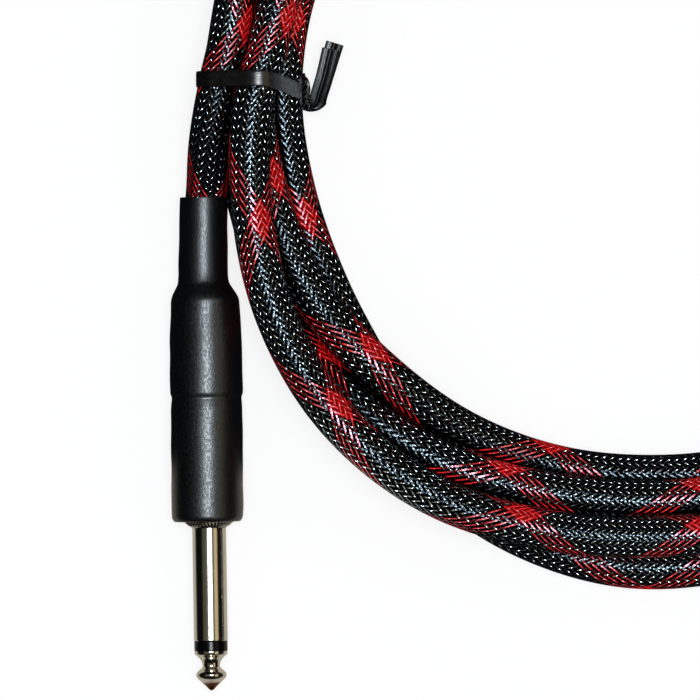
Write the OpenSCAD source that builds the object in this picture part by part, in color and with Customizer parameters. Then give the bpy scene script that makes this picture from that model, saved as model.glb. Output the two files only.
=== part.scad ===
// Instrument cable: a braided patch cable wound in a flat coil, with a straight
// two-contact 6.35 mm plug in a heat-shrunk boot on each end and a twist tie round the turns.
// Z is up and the coil lies on z = 0. Both plugs lie beside it and point along -Y.
// A plug is drawn along its own Z axis, from the boot's mouth at 0 towards the tip.

/* [Cable] */
// Cable diameter over the braided sleeve
cable_d = 7.8; // [7.2:0.1:8.4]
// Wall of the braided sleeve
braid_t = 0.6; // [0.4:0.1:0.8]
// Wall of the rubber jacket under the sleeve
jacket_t = 1.4; // [1:0.1:1.6]
// Wall of the copper shield
shield_t = 0.3; // [0.2:0.05:0.4]
// Diameter of the bare conductor
core_d = 1; // [0.8:0.1:1.2]
// How much thinner the soft sleeve is where turns bear on each other
squeeze = 0.7; // [0.6:0.05:0.9]

/* [Coil] */
// Mean radius of the turns
coil_r = 80; // [72:1:110]
// Gap kept between turns in the plan of the bundle
turn_gap = 0.65; // [0.6:0.05:1]
// How far up the boot's mouth the coil's centre lies
coil_back = 19.2; // [18:0.2:24]
// How far the boot's mouth lies outside the coil's mean radius
plug_out = 5.6; // [4.6:0.2:7]
// Angle at which each plug leans in towards the other
plug_lean = 0.9; // [0:0.1:2]

/* [Plug finger] */
// Diameter of the plug's sleeve contact
sleeve_d = 6.35; // [6.2:0.05:6.5]
// Length of the sleeve contact in front of the collar
sleeve_len = 21.2; // [18:0.2:26]
// Bore of the sleeve contact
sleeve_bore = 3.9; // [3.6:0.1:4.2]
// Length of the insulating ring behind the tip
ring_len = 1.9; // [1.2:0.1:2.4]
// Length of the tip contact
tip_len = 7.5; // [7:0.1:9]
// Diameter of the tip's ball
ball_d = 5.75; // [5.4:0.05:6]
// Diameter of the tip's neck
neck_d = 3.2; // [2.8:0.1:3.8]
// Diameter of the tip's rod
rod_d = 2; // [1.6:0.1:2.4]

/* [Plug body] */
// Length of the boot's narrow neck on the cable
boot_neck_len = 16.5; // [14:0.5:24]
// Length of the boot's shoulder
shoulder_len = 2.1; // [1.5:0.1:4]
// Length of the boot's wide grip over the shell
grip_len = 42.3; // [38:0.1:52]
// Wall of the heat-shrunk boot
boot_t = 0.55; // [0.4:0.05:0.7]
// Outer diameter of the metal shell at its fullest
shell_d = 12.3; // [11.8:0.1:14]
// Wall of the metal shell
shell_t = 0.95; // [0.8:0.05:1.1]
// Length of the collar's cone in front of the shell
cone_len = 1.6; // [1.2:0.1:2.4]
// Diameter of the collar's cone at the shell
cone_d = 9.9; // [9:0.1:10.2]
// Length of the collar's threaded stub inside the shell
stub_len = 10; // [8:0.5:12]

/* [Twist tie] */
// Width of the tie's strip
tie_w = 3; // [2.4:0.1:4]
// Thickness of the tie's strip
tie_t = 0.5; // [0.4:0.05:0.6]
// Length of the tie's twisted tails
tail_len = 12.5; // [8:0.5:20]

/* [Hidden] */
round_fn = 64;
slip = 0.05;              // clearance between pieces that slide together

// Radii through the cable, from the sleeve inwards
cable_r = cable_d / 2;
jacket_r = cable_r - braid_t;
shield_r = jacket_r - jacket_t;
dielectric_r = shield_r - shield_t;
core_r = core_d / 2;

// Places along a plug, from the boot's mouth towards the tip
shoulder_z = boot_neck_len;
grip_z = shoulder_z + shoulder_len;
boot_end = grip_z + grip_len;
shell_front = boot_end - 0.5;
sleeve_z = shell_front + cone_len;
ring_z = sleeve_z + sleeve_len;
tip_z = ring_z + ring_len;
plug_len = tip_z + tip_len;
shell_back = grip_z + 0.3;
shell_floor = 2;          // thickness of the shell's back wall
liner_z = shell_back + shell_floor + slip;
stub_z = shell_front - stub_len;

// Radii through a plug
shell_r = shell_d / 2;
shell_bore = shell_r - shell_t;
boot_r = shell_r + boot_t;
boot_neck_r = cable_r + boot_t;
sleeve_r = sleeve_d / 2;
ring_r = sleeve_r - 0.02;  // the ring and the tip's flange lie a hair below the sleeve
spigot_r = sleeve_r - 0.4;
insulator_r = sleeve_bore / 2 - slip;
rod_r = rod_d / 2;
lug_t = 0.6;              // sheet of the solder lugs
liner_share = 4 / 13;     // of the space that the clamp leaves inside the shell
liner_t = (shell_bore - jacket_r - lug_t) * liner_share;
liner_bore = shell_bore - slip - liner_t;
washer_t = 1.4;
groove_z = grip_z + 0.45 * grip_len;   // shallow ring groove round the shell
groove_w = 0.8;
groove_deep = 0.15;

// The stack behind the collar, each from the tip's side
ground_lug_z = stub_z - lug_t;
washer_z = ground_lug_z - washer_t;
tip_lug_z = washer_z - lug_t;
rivet_len = 0.8;
rivet_z = tip_lug_z - rivet_len;

// The stripped cable inside the boot, each layer cut back in turn
braid_end_z = liner_z + 1;
jacket_end_z = braid_end_z + 9;
shield_end_z = jacket_end_z + 2;
dielectric_end_z = shield_end_z + 3.5;

// The row frame: the plugs' length is centred on y = 0
axis_z = boot_r;         // the boot lies on z = 0
mouth_y = plug_len * cos(plug_lean) / 2;
mouth_x = coil_r + plug_out;
coil_y = mouth_y + coil_back;

// ---- the coil ----
// Cross-sections of the bundle, turn by turn. Each row is one place round the coil: its angle,
// clockwise from the tie at the left, then a pair for each turn that passes there. A pair is
// how far out from the mean radius the turn lies and how high above the lowest turns,
// both counted in pitches of the bundle.
tube_d = cable_d - squeeze;
pitch = tube_d + turn_gap;
PLAN = [
  [  0, [ 0.35, 1.33], [-0.53, 1.80], [ 0.20, 0.10], [-1.15, 0.10], [-0.48, 0.82]],
  [  6, [ 0.19, 1.47], [-0.75, 1.76], [ 0.20, 0.05], [-1.15, 0.05], [-0.50, 0.78]],
  [ 15, [ 0.20, 1.47], [-0.84, 1.72], [ 0.20, 0.00], [-1.15, 0.00], [-0.50, 0.76]],
  [ 45, [ 0.30, 1.60], [-0.75, 1.50], [ 0.65, 0.00], [-1.25, 0.00], [-0.15, 0.65]],
  [ 90, [ 0.05, 1.90], [-0.90, 1.20], [ 0.80, 0.00], [-1.25, 0.00], [ 0.15, 0.85]],
  [135, [-0.35, 1.95], [-0.75, 0.95], [ 0.70, 0.00], [-1.30, 0.00], [ 0.35, 1.10]],
  [180, [-0.55, 1.85], [-0.50, 0.80], [ 0.20, 0.00], [-1.25, 0.00], [ 0.45, 1.15]],
  [195, [-0.20, 1.80], [-0.55, 0.85], [-0.05, 0.00], [-1.20, 0.00]],
  [210, [ 0.15, 1.70], [-0.50, 0.80], [ 0.25, 0.00], [-1.15, 0.00]],
  [240, [ 0.30, 1.50], [-0.50, 0.85], [ 0.72, 0.00], [-1.10, 0.00]],
  [270, [ 0.35, 1.40], [-0.50, 0.85], [ 1.16, 0.00], [-1.10, 0.00]],
  [285, [ 0.55, 1.50], [-0.35, 0.95], [ 0.95, 0.00], [-1.00, 0.00]],
  [300, [ 0.80, 1.75], [ 0.00, 1.10], [ 0.40, 0.00], [-0.90, 0.40]],
  [315, [ 0.75, 1.80], [ 0.20, 0.95], [-0.62, 0.00], [-0.82, 1.10]],
  [330, [ 0.40, 1.65], [ 0.20, 0.00], [-1.05, 0.00], [-0.60, 0.95]],
  [345, [-0.10, 1.80], [ 0.00, 0.00], [-1.18, 0.00], [-0.55, 0.87]]
];
turns = 4;                // whole turns, then half a turn more
last_row = 6;             // the row, half way round, at which the last half turn ends
rings = 24;               // rings in each turn
coil_sides = 6;
coil_low = tube_d / 2 * cos(180 / coil_sides) + 0.04;
KNOTS = [
  for (t = [0 : turns])
    for (k = [0 : len(PLAN) - 1])
      if (t < turns || k <= last_row) [360 * t + PLAN[k][0], PLAN[k][t + 1]]
];

// Slope of a value at knot k, from its neighbours on both sides
function knot_slope(k, c) = (k == 0 || k == len(KNOTS) - 1) ? 0
  : (KNOTS[k + 1][1][c] - KNOTS[k - 1][1][c]) / (KNOTS[k + 1][0] - KNOTS[k - 1][0]);
// Smooth curve between knots k and k + 1, at the share s of the way
function hermite(k, c, s) = let (h = KNOTS[k + 1][0] - KNOTS[k][0])
  (2 * pow(s, 3) - 3 * pow(s, 2) + 1) * KNOTS[k][1][c]
  + (pow(s, 3) - 2 * pow(s, 2) + s) * h * knot_slope(k, c)
  + (3 * pow(s, 2) - 2 * pow(s, 3)) * KNOTS[k + 1][1][c]
  + (pow(s, 3) - pow(s, 2)) * h * knot_slope(k + 1, c);
function knot_before(a, k = 0) =
  (k >= len(KNOTS) - 2 || KNOTS[k + 1][0] > a) ? k : knot_before(a, k + 1);
// The coil's centre line at an angle clockwise from the tie
function coil_point(a) = let (
    k = knot_before(a),
    s = (a - KNOTS[k][0]) / (KNOTS[k + 1][0] - KNOTS[k][0]),
    r = coil_r + pitch * hermite(k, 0, s)
  ) [-r * cos(a), coil_y + r * sin(a), coil_low + pitch * hermite(k, 1, s)];

// Both leads leave the coil on a slope, straight for more than a tube diameter
function mirrored(p) = [-p[0], p[1], p[2]];
coil_mouth_a = [-mouth_x + 1, mouth_y + 9.8, axis_z + 3.3];
coil_angle = 360 * turns + PLAN[last_row][0];
coil_line = concat(
  [coil_mouth_a],
  [for (i = [0 : coil_angle * rings / 360]) coil_point(i * 360 / rings)],
  [mirrored(coil_mouth_a)]
);
lean_dir = [sin(plug_lean), -cos(plug_lean), 0];
lead_line = [
  [-mouth_x, mouth_y, axis_z],
  [-mouth_x, mouth_y, axis_z] - 4 * lean_dir,
  coil_mouth_a
];

// ---- tubes along a line of points ----
function unit(v) = v / norm(v);
function heading(line, i, first, last) =
  i == 0 ? first : i == len(line) - 1 ? last
  : unit(unit(line[i + 1] - line[i]) + unit(line[i] - line[i - 1]));
// One ring of points square to the heading, with a flat side down
function ring_at(p, dir, r, sides) = let (
    side = unit(cross(dir, [0, 0, 1])),
    up = cross(side, dir)
  ) [for (j = [0 : sides - 1]) let (a = 360 * j / sides) p + r * cos(a) * side + r * sin(a) * up];
module tube(line, r, sides, first, last) {
  n = len(line);
  points = [for (i = [0 : n - 1]) each ring_at(line[i], heading(line, i, first, last), r, sides)];
  walls = [
    for (i = [0 : n - 2]) for (j = [0 : sides - 1]) let (
        a = i * sides + j, b = i * sides + (j + 1) % sides
      ) each [[a, b + sides, b], [a, a + sides, b + sides]]
  ];
  ends = [
    for (j = [1 : sides - 2]) each [
      [0, j, j + 1],
      [(n - 1) * sides, (n - 1) * sides + j + 1, (n - 1) * sides + j]
    ]
  ];
  polyhedron(points = points, faces = concat(walls, ends), convexity = 10);
}

// Least gap of the coil to itself, measured on points between its rings
steps = 4;
GAP_POINTS = [
  for (i = [1 : len(coil_line) - 3]) for (j = [0 : steps - 1])
    coil_line[i] + (coil_line[i + 1] - coil_line[i]) * j / steps
];
apart = rings * steps * 3 / 4;   // points less than three quarters of a turn on are the same turn
least = min([
  for (i = [0 : len(GAP_POINTS) - 1 - apart])
    min([for (j = [i + apart : len(GAP_POINTS) - 1]) norm(GAP_POINTS[i] - GAP_POINTS[j])])
]) - tube_d;
echo(least_gap_of_coil_mm = least);  // cable_coil

coil_start_dir = unit(coil_line[1] - coil_line[0]);
coil_end_dir = unit(coil_line[len(coil_line) - 1] - coil_line[len(coil_line) - 2]);
module cable_coil() {
  color([0.12, 0.08, 0.09])
    tube(coil_line, tube_d / 2, coil_sides, coil_start_dir, coil_end_dir);
}
lead_sides = 12;
module cable_lead_a() {
  color([0.12, 0.08, 0.09])
    tube(lead_line, cable_r, lead_sides, -lean_dir, coil_start_dir);
}
module cable_lead_b() {
  line = [for (i = [len(lead_line) - 1 : -1 : 0]) mirrored(lead_line[i])];
  color([0.12, 0.08, 0.09])
    tube(line, cable_r, lead_sides, coil_end_dir, mirrored(lean_dir));
}

// ---- the twist tie ----
// A strip drawn tight round the bundle at the tie, twisted once beside it, with two tails
tie_y = 2.6;              // from the coil's centre line to the middle of the strip
tie_slack = 0.35;
knot_r = 1.4;
knot_len = 6.9;
tail_w = 3;
tail_t = 1.2;
tail_turn = -17;          // lean of the tails in plan
tie_under = 0.3;
flat_low = coil_low + pitch * PLAN[0][turns][1] - tube_d / 2 * cos(180 / coil_sides) - tie_under;
// Where each turn's centre line crosses the tie
function at_tie(t) = let (
    p = coil_point(360 * t),
    q = coil_point(360 * t + 360 / rings)
  ) p + (q - p) * tie_y / (q[1] - p[1]);
// Outline of the bundle, r from each turn's centre, flat on its underside
module bundle_outline(r, low) {
  intersection() {
    hull()
      for (t = [0 : turns]) translate([at_tie(t)[0], at_tie(t)[2]]) circle(r = r, $fn = 32);
    translate([-2 * coil_r, low]) square([2 * coil_r, coil_r]);
  }
}
module twist_tie() {
  inner = tube_d / 2 + tie_slack;
  knot_x = at_tie(turns - 1)[0] + inner + tie_t + 0.1;
  knot_z = coil_low + pitch * 0.5;
  color([0.04, 0.04, 0.045]) {
    translate([0, coil_y + tie_y + tie_w / 2, 0]) rotate([90, 0, 0])
      linear_extrude(tie_w)
        difference() {
          bundle_outline(inner + tie_t, flat_low - tie_t);
          bundle_outline(inner, flat_low);
        }
    translate([knot_x, coil_y + tie_y, knot_z]) {
      rotate([90, 0, 0]) translate([0, 0, -tie_w / 2]) cylinder(r = knot_r, h = knot_len, $fn = 24);
      translate([0, tie_w / 2 - knot_len, 0]) rotate([0, 0, tail_turn])
        translate([-knot_r * 0.4, 0, -tail_t / 2])
          cube([tail_w, tail_len, tail_t]);
    }
  }
}

// ---- a plug's pieces, each about its own Z axis ----
module ring_of(profile) { rotate_extrude($fn = round_fn) polygon(profile); }
module pipe(z, len, r_out, r_in) {
  ring_of([[r_in, z], [r_out, z], [r_out, z + len], [r_in, z + len]]);
}
nickel = [0.72, 0.68, 0.60];
brass = [0.78, 0.62, 0.32];
copper = [0.72, 0.42, 0.26];
black = [0.05, 0.05, 0.055];

// The shell's outside: it swells from the back, with a shallow ring groove, and is chamfered in front
swell = 0.35;             // how much thinner the shell is at its back
swell_len = 9;
chamfer = min(0.6, shell_r - cone_d / 2 - slip);   // it ends outside the collar's cone
function shell_outside(extra) = [
  [shell_r - swell + extra, shell_back],
  [shell_r + extra, shell_back + swell_len],
  [shell_r + extra, groove_z],
  [shell_r - groove_deep + extra, groove_z + groove_w / 4],
  [shell_r - groove_deep + extra, groove_z + groove_w * 3 / 4],
  [shell_r + extra, groove_z + groove_w]
];
module shell() {
  color(nickel) ring_of(concat(
    [[cable_r + slip, shell_back]],
    shell_outside(0),
    [[shell_r, shell_front - chamfer], [shell_r - chamfer, shell_front], [shell_bore, shell_front],
      [shell_bore, shell_back + shell_floor], [cable_r + slip, shell_back + shell_floor]]
  ));
}
module boot() {
  neck_in = cable_r + slip / 2;
  color(black) ring_of(concat(
    [[neck_in, 0], [boot_neck_r + 0.1, 0], [boot_neck_r, boot_neck_len * 0.15],
      [boot_neck_r, shoulder_z - 0.6], [boot_neck_r + 0.25, shoulder_z],
      [shell_r - swell + boot_t - 0.35, grip_z - 0.35]],
    shell_outside(boot_t),
    [[boot_r, boot_end - chamfer], [boot_r - chamfer, boot_end], [boot_r - chamfer - boot_t, boot_end],
      [shell_r + slip, shell_front - chamfer]],
    [for (i = [len(shell_outside(0)) - 1 : -1 : 0]) shell_outside(slip)[i]],
    [[neck_in, shoulder_z]]
  ));
}
module liner() {
  color([0.85, 0.84, 0.8])
    pipe(liner_z, washer_z - liner_z, liner_bore + liner_t, liner_bore);
}
// Collar: threaded stub inside the shell and a ridged cone in front of it
ridges = 44;
ridge_deep = 0.12;
module collar() {
  color(nickel) difference() {
    ring_of([
      [spigot_r + slip, stub_z], [shell_bore - slip, stub_z],
      [shell_bore - slip, shell_front], [cone_d / 2, shell_front],
      [sleeve_r + 0.1, sleeve_z], [spigot_r + slip, sleeve_z]
    ]);
    for (k = [0 : ridges - 1])
      rotate([0, 0, 360 * k / ridges])
        translate([cone_d / 2, 0, shell_front + 0.1])
          rotate([0, 0, 45])
            translate([-ridge_deep, -ridge_deep, 0])
              cube([2 * ridge_deep, 2 * ridge_deep, cone_len]);
  }
}
module sleeve() {
  color(nickel) ring_of([
    [sleeve_bore / 2, stub_z], [spigot_r, stub_z], [spigot_r, sleeve_z],
    [sleeve_r, sleeve_z], [sleeve_r, ring_z], [sleeve_bore / 2, ring_z]
  ]);
}
module rod_insulator() {
  color([0.9, 0.9, 0.86]) pipe(ground_lug_z, ring_z - ground_lug_z, insulator_r, rod_r + slip);
}
module tip_ring() {
  color(black) pipe(ring_z, ring_len, ring_r, rod_r + slip);
}
// Tip contact: ball, neck, flange and a rod that is riveted over behind the tip lug
module tip() {
  flange = 0.75;
  neck_at = 0.39 * tip_len;
  ball_at = 0.61 * tip_len;
  nose_r = 0.55;
  ball_r = ball_d / 2;
  color(nickel) ring_of(concat(
    [[0, rivet_z], [rod_r * 1.5, rivet_z], [rod_r * 1.7, rivet_z + rivet_len * 0.6],
      [rod_r * 1.7, tip_lug_z], [rod_r, tip_lug_z], [rod_r, tip_z],
      [ring_r, tip_z], [ring_r, tip_z + flange]],
    [for (i = [1 : 7]) let (s = i / 8)
      [neck_d / 2 + (sleeve_r - 0.4 - neck_d / 2) * pow(1 - s, 2.2),
        tip_z + flange + (neck_at - flange) * s]],
    [[neck_d / 2, tip_z + neck_at]],
    [for (i = [1 : 8]) let (s = i / 8)
      [neck_d / 2 + (ball_r - neck_d / 2) * sin(90 * s), tip_z + neck_at + (ball_at - neck_at) * s]],
    [[ball_r - 0.06, tip_z + ball_at + 0.4], [nose_r + 0.25, plug_len - 0.35],
      [nose_r * 0.6, plug_len - 0.05], [0, plug_len]]
  ));
}
// Solder lug on the tip's rod, with a tab that steps in to the core
tab_w = 2.4;
tip_tab_y = rod_r * 1.7 + 0.4;   // clear of the rivet's head
tip_tab_len = 9;
tip_step_z = rivet_z - 0.4;
solder_film = 0.25;       // solder between a wire and its tab
core_tab_y = core_r + solder_film;
module tip_tab() {
  step = tip_tab_y - core_tab_y;
  bend = lug_t * tan(22.5);   // how much sooner the tab's inside turns
  translate([-tab_w / 2, 0, 0]) rotate([90, 0, 90])
    linear_extrude(tab_w)
      polygon([
        [tip_tab_y, tip_lug_z + lug_t], [tip_tab_y + lug_t, tip_lug_z + lug_t],
        [tip_tab_y + lug_t, tip_step_z - bend], [core_tab_y + lug_t, tip_step_z - step - bend],
        [core_tab_y + lug_t, tip_lug_z - tip_tab_len], [core_tab_y, tip_lug_z - tip_tab_len],
        [core_tab_y, tip_step_z - step], [tip_tab_y, tip_step_z]
      ]);
}
module tip_lug() {
  color(brass) {
    pipe(tip_lug_z, lug_t, tip_tab_y + lug_t + 0.2, rod_r + slip);
    tip_tab();
  }
}
module rear_washer() {
  color([0.55, 0.3, 0.15]) pipe(washer_z, washer_t, jacket_r - slip, rod_r + slip);
}
// Ground lug: a ring against the collar, a long tab and a clamp round the jacket
lug_r = liner_bore - 0.2;
ground_tab_w = 3;
clamp_len = 4;
clamp_z = jacket_end_z - clamp_len - 1.5;
clamp_gap = 3;
clamp_r = jacket_r + lug_t;
module ground_tab() {
  tab_len = ground_lug_z + lug_t - clamp_z;
  intersection() {
    pipe(clamp_z, tab_len, clamp_r, jacket_r + slip);
    translate([-ground_tab_w / 2, -2 * clamp_r, clamp_z]) cube([ground_tab_w, 2 * clamp_r, tab_len]);
  }
}
module ground_lug() {
  color(brass) {
    pipe(ground_lug_z, lug_t, lug_r, insulator_r + slip);
    ground_tab();
    difference() {
      pipe(clamp_z, clamp_len, clamp_r, jacket_r + slip);
      translate([-clamp_gap / 2, 0, clamp_z - 1]) cube([clamp_gap, 2 * clamp_r, clamp_len + 2]);
    }
  }
}
module braid_end() {
  color([0.1, 0.1, 0.1]) pipe(0, braid_end_z, cable_r, jacket_r + slip / 2);
}
module jacket_end() {
  color([0.08, 0.08, 0.08]) pipe(0, jacket_end_z, jacket_r, shield_r + slip / 2);
}
module shield_end() {
  color(copper) pipe(0, shield_end_z, shield_r, dielectric_r + slip / 2);
}
module dielectric_end() {
  color([0.92, 0.92, 0.9]) pipe(0, dielectric_end_z, dielectric_r, core_r + slip / 2);
}
// The core runs straight on to its tab; the shield is gathered into a tail along the ground tab
tip_joint_z = tip_lug_z - tip_tab_len + 2;
module core_end() {
  color(copper) cylinder(r = core_r, h = tip_joint_z + 1, $fn = round_fn);
}
tail_r = 0.5;
tail_y = -shield_r - tail_r;
tail_end_z = shield_end_z + 5;
module shield_tail() {
  color(copper) translate([0, tail_y, jacket_end_z + 0.2])
    cylinder(r = tail_r, h = tail_end_z - jacket_end_z - 0.2, $fn = round_fn);
}
// A bead of solder on each tab, round the wire that lies there
bead_r = 0.95;
module bead(y, z) { translate([0, y, z]) sphere(r = bead_r, $fn = 32); }
module solder() {
  color([0.75, 0.75, 0.78]) difference() {
    union() {
      bead(0, tip_joint_z);
      bead(tail_y - bead_r + tail_r, tail_end_z - 1);
    }
    tip_tab();
    ground_tab();
    cylinder(r = core_r, h = tip_joint_z + 3, $fn = round_fn);
    translate([0, tail_y, shield_end_z]) cylinder(r = tail_r, h = tail_end_z, $fn = round_fn);
  }
}

// A plug lies on its boot, with its mouth at the lead's end and its tip towards -Y
module at_a() {
  translate([-mouth_x, mouth_y, axis_z]) rotate([0, 0, plug_lean]) rotate([90, 0, 0]) children();
}
module at_b() {
  translate([mouth_x, mouth_y, axis_z]) rotate([0, 0, -plug_lean]) rotate([90, 0, 0]) children();
}

cable_coil();
cable_lead_a();
cable_lead_b();
twist_tie();

at_a() boot();  // plug_a_boot
at_a() shell();  // plug_a_shell
at_a() liner();  // plug_a_liner
at_a() collar();  // plug_a_collar
at_a() sleeve();  // plug_a_sleeve
at_a() rod_insulator();  // plug_a_rod_insulator
at_a() tip_ring();  // plug_a_tip_ring
at_a() tip();  // plug_a_tip
at_a() ground_lug();  // plug_a_ground_lug
at_a() rear_washer();  // plug_a_rear_washer
at_a() tip_lug();  // plug_a_tip_lug
at_a() braid_end();  // plug_a_braid_end
at_a() jacket_end();  // plug_a_jacket_end
at_a() shield_end();  // plug_a_shield_end
at_a() dielectric_end();  // plug_a_dielectric_end
at_a() core_end();  // plug_a_core_end
at_a() shield_tail();  // plug_a_shield_tail
at_a() solder();  // plug_a_solder

at_b() boot();  // plug_b_boot
at_b() shell();  // plug_b_shell
at_b() liner();  // plug_b_liner
at_b() collar();  // plug_b_collar
at_b() sleeve();  // plug_b_sleeve
at_b() rod_insulator();  // plug_b_rod_insulator
at_b() tip_ring();  // plug_b_tip_ring
at_b() tip();  // plug_b_tip
at_b() ground_lug();  // plug_b_ground_lug
at_b() rear_washer();  // plug_b_rear_washer
at_b() tip_lug();  // plug_b_tip_lug
at_b() braid_end();  // plug_b_braid_end
at_b() jacket_end();  // plug_b_jacket_end
at_b() shield_end();  // plug_b_shield_end
at_b() dielectric_end();  // plug_b_dielectric_end
at_b() core_end();  // plug_b_core_end
at_b() shield_tail();  // plug_b_shield_tail
at_b() solder();  // plug_b_solder
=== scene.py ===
"""Instrument cable: looks of the braided cable, its two plugs and the twist tie.

Metres throughout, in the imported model's frame. Sizes are written in millimetres and scaled once.
"""
import math
import bmesh
import bpy
import numpy as np
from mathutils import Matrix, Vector


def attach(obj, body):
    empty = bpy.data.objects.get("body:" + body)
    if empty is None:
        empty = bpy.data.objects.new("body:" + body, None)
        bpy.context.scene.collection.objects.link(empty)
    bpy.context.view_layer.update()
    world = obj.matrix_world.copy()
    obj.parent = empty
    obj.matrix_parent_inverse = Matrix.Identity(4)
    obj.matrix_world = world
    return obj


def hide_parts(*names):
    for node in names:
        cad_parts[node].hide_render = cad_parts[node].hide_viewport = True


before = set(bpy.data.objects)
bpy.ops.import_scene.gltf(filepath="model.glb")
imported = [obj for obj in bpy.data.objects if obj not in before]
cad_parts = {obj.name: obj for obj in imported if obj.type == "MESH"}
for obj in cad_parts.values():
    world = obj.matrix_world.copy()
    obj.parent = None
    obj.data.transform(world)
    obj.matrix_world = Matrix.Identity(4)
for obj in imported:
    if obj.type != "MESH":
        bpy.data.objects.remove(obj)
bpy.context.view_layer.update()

MM = 0.001
scene = bpy.context.scene
scene.view_settings.view_transform = "Standard"

# ---------------------------------------------------------------- sizes, in millimetres
CABLE_R = 3.9
COIL_R = 80.0
PITCH = 7.75               # distance that PLAN counts in
LEAN = math.radians(0.9)   # how far each plug leans in
PLUG_LEN = 92.6
AXIS_Z = 6.7               # height of the plugs' axes
MOUTH_X = 85.6             # the boots' mouths, aside from the middle of the coil
MOUTH_Y = PLUG_LEN * math.cos(LEAN) / 2
COIL_Y = MOUTH_Y + 19.2
VIEW_X, VIEW_Y, VIEW_FIELD = -58.2, 17.6, 131.3   # middle and width of the view
CAMERA_UP = 1500.0         # camera above the floor
SENSOR = 36.0              # width of the camera's sensor


# ---------------------------------------------------------------- camera
def make_camera():
    """A long lens straight above the plug and the near quarter of the coil."""
    data = bpy.data.cameras.new("camera")
    data.sensor_width = SENSOR
    data.lens = SENSOR * (CAMERA_UP - AXIS_Z) / VIEW_FIELD
    data.clip_end = 10.0
    camera = bpy.data.objects.new("camera", data)
    camera.location = (VIEW_X * MM, VIEW_Y * MM, CAMERA_UP * MM)
    scene.collection.objects.link(camera)
    scene.camera = camera


make_camera()

# ---------------------------------------------------------------- the cable's route
# Cross-sections of the bundle: angle clockwise from the tie, then how far out and how high each
# turn lies there, in pitches.
PLAN = [
    [0, (0.35, 1.33), (-0.53, 1.80), (0.20, 0.10), (-1.15, 0.10), (-0.48, 0.82)],
    [6, (0.19, 1.47), (-0.75, 1.76), (0.20, 0.05), (-1.15, 0.05), (-0.50, 0.78)],
    [15, (0.20, 1.47), (-0.84, 1.72), (0.20, 0.00), (-1.15, 0.00), (-0.50, 0.76)],
    [45, (0.30, 1.60), (-0.75, 1.50), (0.65, 0.00), (-1.25, 0.00), (-0.15, 0.65)],
    [90, (0.05, 1.90), (-0.90, 1.20), (0.80, 0.00), (-1.25, 0.00), (0.15, 0.85)],
    [135, (-0.35, 1.95), (-0.75, 0.95), (0.70, 0.00), (-1.30, 0.00), (0.35, 1.10)],
    [180, (-0.55, 1.85), (-0.50, 0.80), (0.20, 0.00), (-1.25, 0.00), (0.45, 1.15)],
    [195, (-0.20, 1.80), (-0.55, 0.85), (-0.05, 0.00), (-1.20, 0.00)],
    [210, (0.15, 1.70), (-0.50, 0.80), (0.25, 0.00), (-1.15, 0.00)],
    [240, (0.30, 1.50), (-0.50, 0.85), (0.72, 0.00), (-1.10, 0.00)],
    [270, (0.35, 1.40), (-0.50, 0.85), (1.16, 0.00), (-1.10, 0.00)],
    [285, (0.55, 1.50), (-0.35, 0.95), (0.95, 0.00), (-1.00, 0.00)],
    [300, (0.80, 1.75), (0.00, 1.10), (0.40, 0.00), (-0.90, 0.40)],
    [315, (0.75, 1.80), (0.20, 0.95), (-0.62, 0.00), (-0.82, 1.10)],
    [330, (0.40, 1.65), (0.20, 0.00), (-1.05, 0.00), (-0.60, 0.95)],
    [345, (-0.10, 1.80), (0.00, 0.00), (-1.18, 0.00), (-0.55, 0.87)],
]
TURNS = 4
LAST_ROW = 6
KNOTS = np.array([
    (360 * t + row[0],) + row[t + 1]
    for t in range(TURNS + 1) for k, row in enumerate(PLAN) if t < TURNS or k <= LAST_ROW
])


def smooth_curve(knots, values, at):
    """Cubic curve through (knot, value) pairs; each knot's slope is that of its two neighbours."""
    slope = np.zeros_like(values)
    slope[1:-1] = (values[2:] - values[:-2]) / (knots[2:] - knots[:-2])
    k = np.clip(np.searchsorted(knots, at, side="right") - 1, 0, len(knots) - 2)
    h = knots[k + 1] - knots[k]
    s = (at - knots[k]) / h
    return ((2 * s**3 - 3 * s**2 + 1) * values[k] + (s**3 - 2 * s**2 + s) * h * slope[k]
            + (3 * s**2 - 2 * s**3) * values[k + 1] + (s**3 - s**2) * h * slope[k + 1])


def coil_at(degrees):
    """Centre line of the coil: a circle whose radius and height follow the plan of the bundle."""
    degrees = np.asarray(degrees, float)
    r = COIL_R + PITCH * smooth_curve(KNOTS[:, 0], KNOTS[:, 1], degrees)
    z = CABLE_R + PITCH * np.maximum(smooth_curve(KNOTS[:, 0], KNOTS[:, 2], degrees), 0)
    a = np.radians(degrees)
    return np.stack([-r * np.cos(a), COIL_Y + r * np.sin(a), z], axis=-1)


def bezier(p0, p1, p2, p3, count):
    """Cubic Bezier curve through p0 and p3 with handles p1 and p2."""
    s = np.linspace(0, 1, count)[:, None]
    return (1 - s)**3 * p0 + 3 * (1 - s)**2 * s * p1 + 3 * (1 - s) * s**2 * p2 + s**3 * p3


IN_BOOT = 8.0              # how far the drawn cable reaches into the boot
BEAR_IN = 0.45             # how far the cable bears inwards at the mouth
CLIMB, INWARDS = 0.35, 0.10    # slopes, up and towards the coil, at which it leaves the mouth
LEAVE, ARRIVE = 7.0, 14.0  # how far the curve's handles reach from the mouth and the coil


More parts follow.
